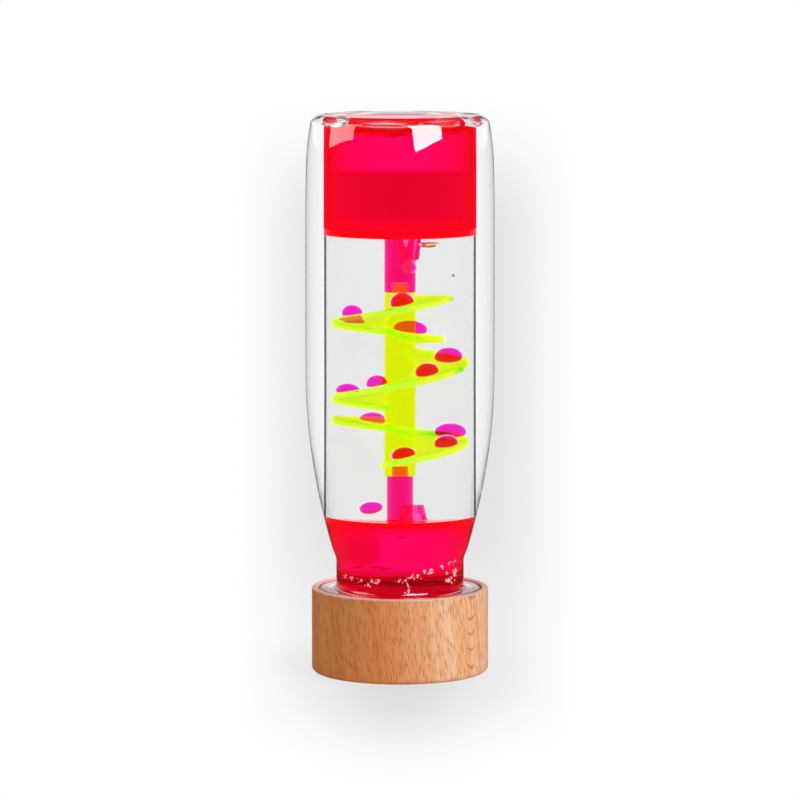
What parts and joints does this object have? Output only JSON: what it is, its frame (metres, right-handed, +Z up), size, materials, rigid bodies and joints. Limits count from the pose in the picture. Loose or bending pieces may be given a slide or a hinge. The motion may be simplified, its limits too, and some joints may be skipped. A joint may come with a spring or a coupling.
{
  "type": "sensory bottle",
  "caption": "Clear liquid-filled bottle standing neck-down in a turned wooden base, holding a spiral liquid timer whose dyed drops run down sloping flights.",
  "frame": {"origin": "middle of the wooden base's underside, on the surface it stands on", "axes": "+Z up along the axis of the bottle, -Y towards the front, +X to the right seen from the front"},
  "size_m": [0.065, 0.065, 0.1924],
  "materials": {
    "beech": "satin turned beech",
    "grey_plastic": "moulded, satin",
    "foam": "matt foam",
    "clear_plastic": "clear, glossy",
    "clear_liquid": "clear liquid",
    "pink_plastic": "tinted, glossy",
    "yellow_plastic": "fluorescent tinted, glossy",
    "magenta_dye": "dyed liquid"
  },
  "bodies": {
    "base": {"wooden_base": "beech", "screw_cap": "grey_plastic"},
    "seal": {"sealing_liner": "foam"},
    "bottle": {"bottle_shell": "clear_plastic", "fill_liquid": "clear_liquid", "timer_tube": "clear_plastic", "upper_cup": "pink_plastic", "upper_divider": "pink_plastic", "lower_cup": "pink_plastic", "lower_divider": "pink_plastic", "spiral_column": "yellow_plastic", "ramp_upper": "yellow_plastic", "ramp_middle": "yellow_plastic", "ramp_lower": "yellow_plastic", "upper_dye_pool": "magenta_dye", "lower_dye_pool": "magenta_dye"},
    "drop_01": {"drop_01": "magenta_dye"},
    "drop_02": {"drop_02": "magenta_dye"},
    "drop_03": {"drop_03": "magenta_dye"},
    "drop_04": {"drop_04": "magenta_dye"},
    "drop_05": {"drop_05": "magenta_dye"},
    "drop_06": {"drop_06": "magenta_dye"},
    "drop_07": {"drop_07": "magenta_dye"},
    "drop_08": {"drop_08": "magenta_dye"},
    "drop_09": {"drop_09": "magenta_dye"},
    "drop_10": {"drop_10": "magenta_dye"},
    "drop_11": {"drop_11": "magenta_dye"},
    "drop_12": {"drop_12": "magenta_dye"},
    "drop_13": {"drop_13": "magenta_dye"},
    "drop_14": {"drop_14": "magenta_dye"}
  },
  "joints": [
    {"name": "seal_lift", "type": "slide", "parent": "base", "child": "seal", "axis": [0, 0, 1], "range_m": [0, 0.00526]},
    {"name": "bottle_turn", "type": "hinge", "parent": "seal", "child": "bottle", "pos_m": [0, 0, 0.015], "axis": [0, 0, 1], "range_deg": [0, 450]},
    {"name": "drop_01_run", "type": "slide", "parent": "bottle", "child": "drop_01", "axis": [-0.9668, -0.0846, -0.2411], "range_m": [-0.002, 0.0025]},
    {"name": "drop_02_run", "type": "slide", "parent": "bottle", "child": "drop_02", "axis": [-0.3478, 0.9061, -0.2411], "range_m": [-0.002, 0.0035]},
    {"name": "drop_03_run", "type": "slide", "parent": "bottle", "child": "drop_03", "axis": [0.5567, 0.795, -0.2411], "range_m": [-0.002, 0.0035]},
    {"name": "drop_04_run", "type": "slide", "parent": "bottle", "child": "drop_04", "axis": [0.9641, -0.1115, -0.2411], "range_m": [-0.002, 0.00175]},
    {"name": "drop_05_run", "type": "slide", "parent": "bottle", "child": "drop_05", "axis": [0.2494, -0.9307, -0.2677], "range_m": [-0.002, 0.0035]},
    {"name": "drop_06_run", "type": "slide", "parent": "bottle", "child": "drop_06", "axis": [-0.771, -0.5895, -0.2411], "range_m": [-0.002, 0.003]},
    {"name": "drop_07_run", "type": "slide", "parent": "bottle", "child": "drop_07", "axis": [-0.8647, 0.4406, -0.2411], "range_m": [-0.002, 0.0035]},
    {"name": "drop_08_run", "type": "slide", "parent": "bottle", "child": "drop_08", "axis": [-0.1183, 0.9633, -0.2411], "range_m": [-0.002, 0.0035]},
    {"name": "drop_09_run", "type": "slide", "parent": "bottle", "child": "drop_09", "axis": [0.8712, 0.4439, -0.2098], "range_m": [-0.002, 0.0035]},
    {"name": "drop_10_run", "type": "slide", "parent": "bottle", "child": "drop_10", "axis": [0.5608, -0.8009, -0.2098], "range_m": [-0.002, 0.00175]},
    {"name": "drop_11_run", "type": "slide", "parent": "bottle", "child": "drop_11", "axis": [-0.3344, -0.9188, -0.2098], "range_m": [-0.002, 0.00325]},
    {"name": "drop_12_run", "type": "slide", "parent": "bottle", "child": "drop_12", "axis": [-0.9724, -0.1022, -0.2098], "range_m": [-0.002, 0.00225]},
    {"name": "drop_13_fall", "type": "slide", "parent": "bottle", "child": "drop_13", "axis": [0, 0, -1], "range_m": [-0.012, 0.002]},
    {"name": "drop_14_fall", "type": "slide", "parent": "bottle", "child": "drop_14", "axis": [0, 0, -1], "range_m": [0, 0.0085]}
  ],
  "couplings": [
    {"joint": "seal_lift", "follows": "bottle_turn", "m_per_rad": 0.00066845}
  ]
}
